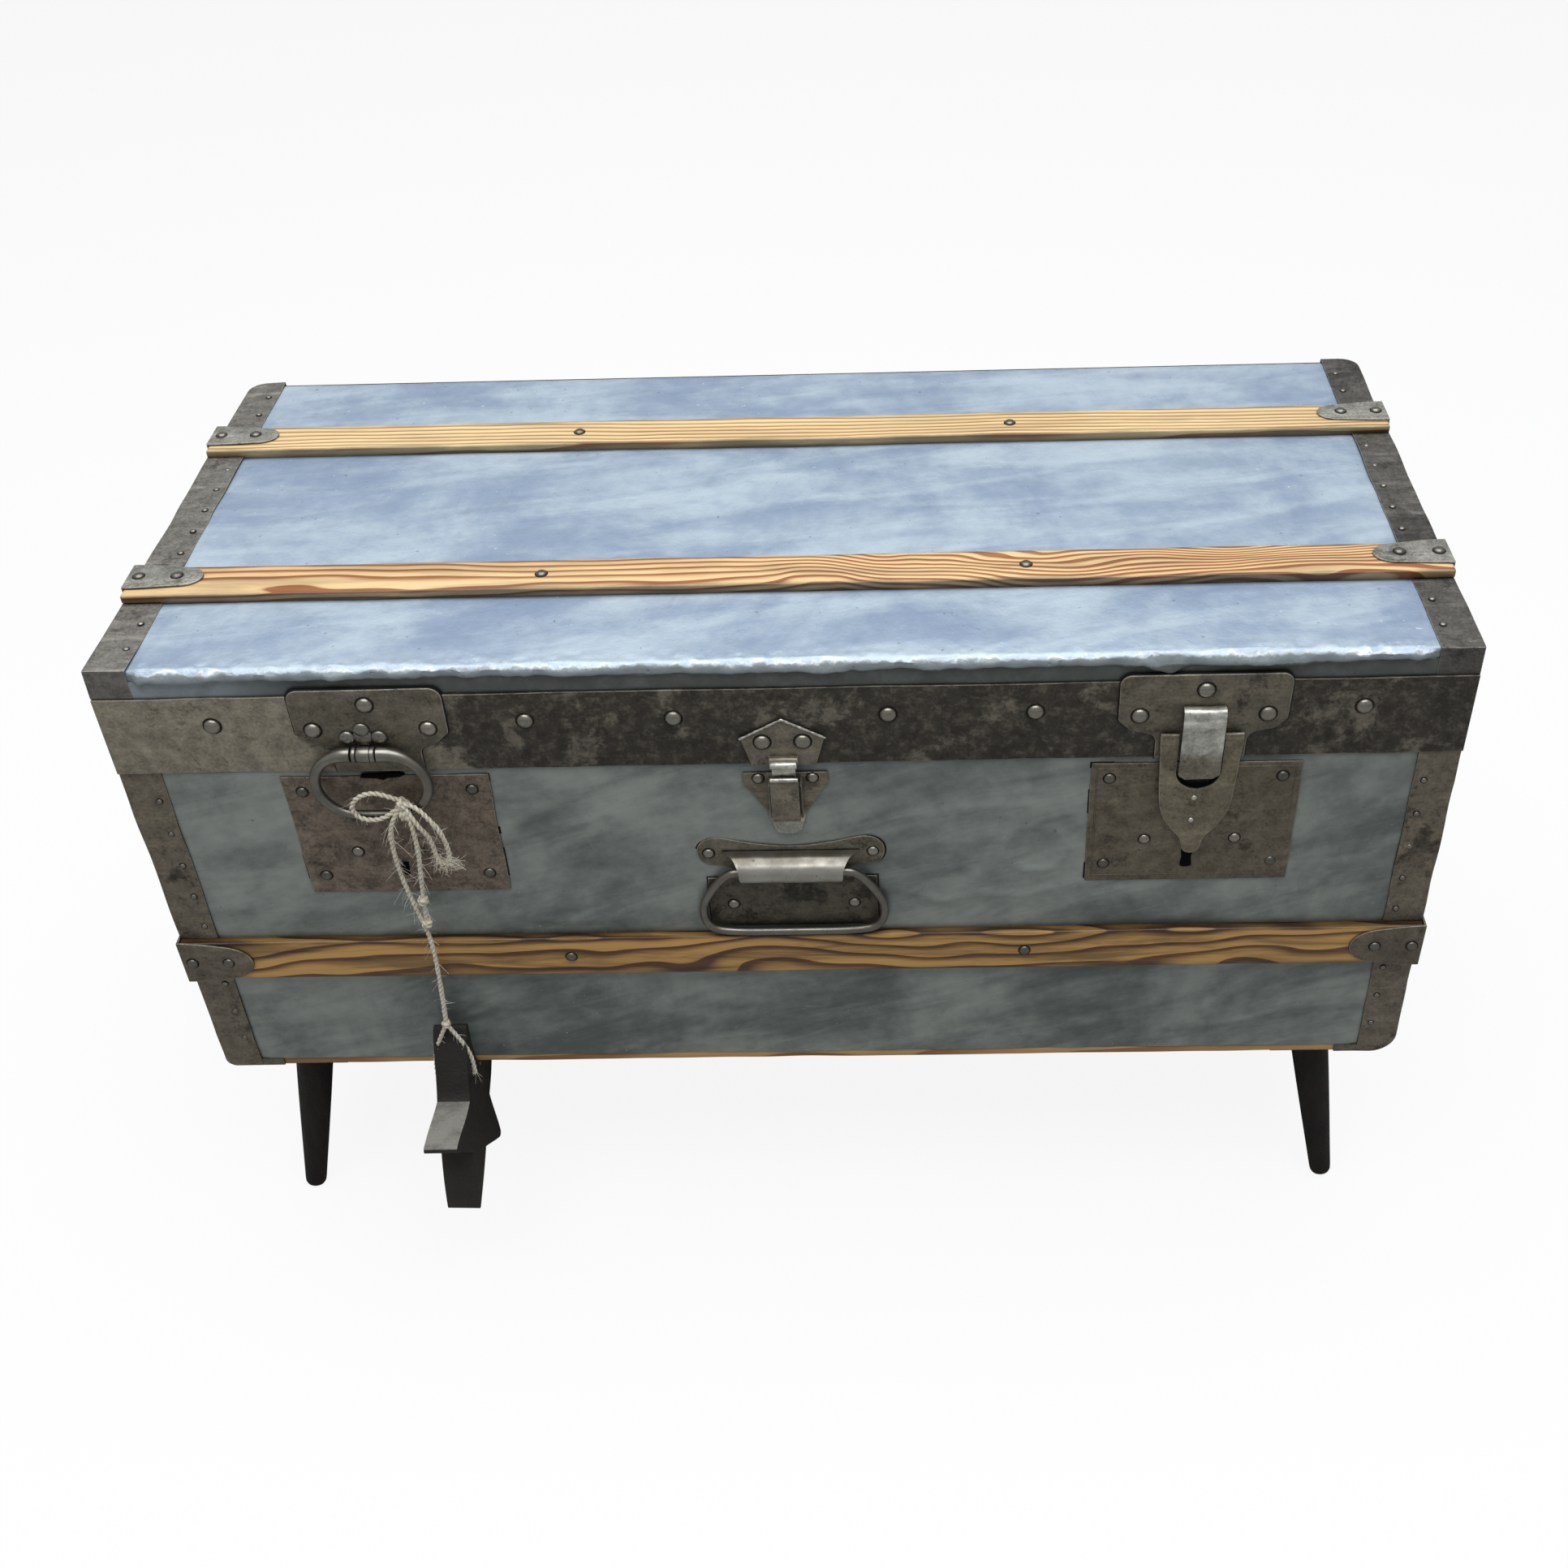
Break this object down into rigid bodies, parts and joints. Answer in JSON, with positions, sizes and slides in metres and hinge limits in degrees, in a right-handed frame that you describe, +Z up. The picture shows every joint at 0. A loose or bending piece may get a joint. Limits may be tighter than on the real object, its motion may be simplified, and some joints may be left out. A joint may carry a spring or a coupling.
{
  "type": "zinc-clad trunk",
  "caption": "Zinc-clad travelling trunk on splayed legs, with a hinged lid, wooden slats, lock plates, hasp, draw latch, front handle, ring pull and a hanging star.",
  "frame": {"origin": "on the floor under the middle of the trunk's bounding box, without the twine and star", "axes": "+X along the trunk to the right, +Y from the front to the back, +Z up"},
  "size_m": [0.903, 0.5084, 0.5389],
  "materials": {
    "zinc": "weathered zinc",
    "aged_steel": "brown-grey aged steel",
    "hardware_steel": "worn steel",
    "bright_steel": "bright zinc-plated steel",
    "slat_wood": "varnished pine",
    "board_wood": "bare pine",
    "black_wood": "black stained wood",
    "twine": "jute twine"
  },
  "bodies": {
    "root": {"front_board": "board_wood", "back_board": "board_wood", "left_end_board": "board_wood", "right_end_board": "board_wood", "floor_board": "board_wood", "case_zinc": "zinc", "corner_bands": "aged_steel", "lower_end_bands": "aged_steel", "case_front_slat": "slat_wood", "case_back_slat": "slat_wood", "front_runner": "slat_wood", "back_runner": "slat_wood", "runner_straps": "aged_steel", "case_slat_clamps": "aged_steel", "case_slat_studs": "hardware_steel", "case_band_nails": "hardware_steel", "lock_plate_left": "aged_steel", "lock_plate_right": "aged_steel", "lock_cases": "hardware_steel", "latch_base": "hardware_steel", "latch_pin": "hardware_steel", "handle_bracket": "hardware_steel", "handle_backing": "aged_steel", "case_hinge_leaves": "hardware_steel", "hinge_pins": "hardware_steel", "case_hardware_rivets": "hardware_steel", "leg_front_left": "black_wood", "leg_front_right": "black_wood", "leg_back_left": "black_wood", "leg_back_right": "black_wood", "leg_plates": "aged_steel"},
    "lid": {"lid_top_board": "board_wood", "lid_front_rim": "board_wood", "lid_back_rim": "board_wood", "lid_end_rims": "board_wood", "lid_zinc": "zinc", "lid_rim_band": "aged_steel", "lid_edge_bands": "aged_steel", "lid_front_slat": "slat_wood", "lid_rear_slat": "slat_wood", "lid_slat_clamps": "aged_steel", "lid_slat_studs": "hardware_steel", "lid_band_nails": "hardware_steel", "hasp_plate_left": "aged_steel", "hasp_plate_right": "aged_steel", "hasp_strap": "bright_steel", "ring_lug": "hardware_steel", "latch_keeper": "hardware_steel", "lid_rim_rivets": "hardware_steel", "lid_hinge_leaves": "hardware_steel"},
    "ring": {"ring_pull": "hardware_steel"},
    "tag": {"twine_bow": "twine", "twine_line": "twine", "twine_sling": "twine", "star": "black_wood"},
    "hasp": {"hasp": "hardware_steel"},
    "latch_lever": {"latch_lever": "bright_steel"},
    "latch_link": {"latch_link": "bright_steel"},
    "front_handle": {"handle_bail": "hardware_steel"}
  },
  "joints": [
    {"name": "lid_hinge", "type": "hinge", "parent": "root", "child": "lid", "pos_m": [0, 0.211, 0.446], "axis": [-1, 0, 0], "range_deg": [0, 95]},
    {"name": "ring_swing", "type": "hinge", "parent": "lid", "child": "ring", "pos_m": [-0.277, -0.2106, 0.4665], "axis": [-1, 0, 0], "range_deg": [0, 90]},
    {"name": "tag_swing", "type": "hinge", "parent": "ring", "child": "tag", "pos_m": [-0.259, -0.2106, 0.4149], "axis": [-1, 0, 0], "range_deg": [-76.5, 0]},
    {"name": "hasp_swing", "type": "hinge", "parent": "lid", "child": "hasp", "pos_m": [0.276, -0.2067, 0.4665], "axis": [-1, 0, 0], "range_deg": [0, 110]},
    {"name": "latch_lever_turn", "type": "hinge", "parent": "root", "child": "latch_lever", "pos_m": [0, -0.2069, 0.408], "axis": [1, 0, 0], "range_deg": [0, 100]},
    {"name": "latch_link_turn", "type": "hinge", "parent": "latch_lever", "child": "latch_link", "pos_m": [0, -0.2105, 0.428], "axis": [1, 0, 0], "range_deg": [-100, 0]},
    {"name": "front_handle_swing", "type": "hinge", "parent": "root", "child": "front_handle", "pos_m": [0, -0.2065, 0.353], "axis": [-1, 0, 0], "range_deg": [0, 100]}
  ],
  "couplings": [
    {"joint": "tag_swing", "follows": "ring_swing", "ratio": -0.85},
    {"joint": "latch_link_turn", "follows": "latch_lever_turn", "ratio": -1}
  ]
}
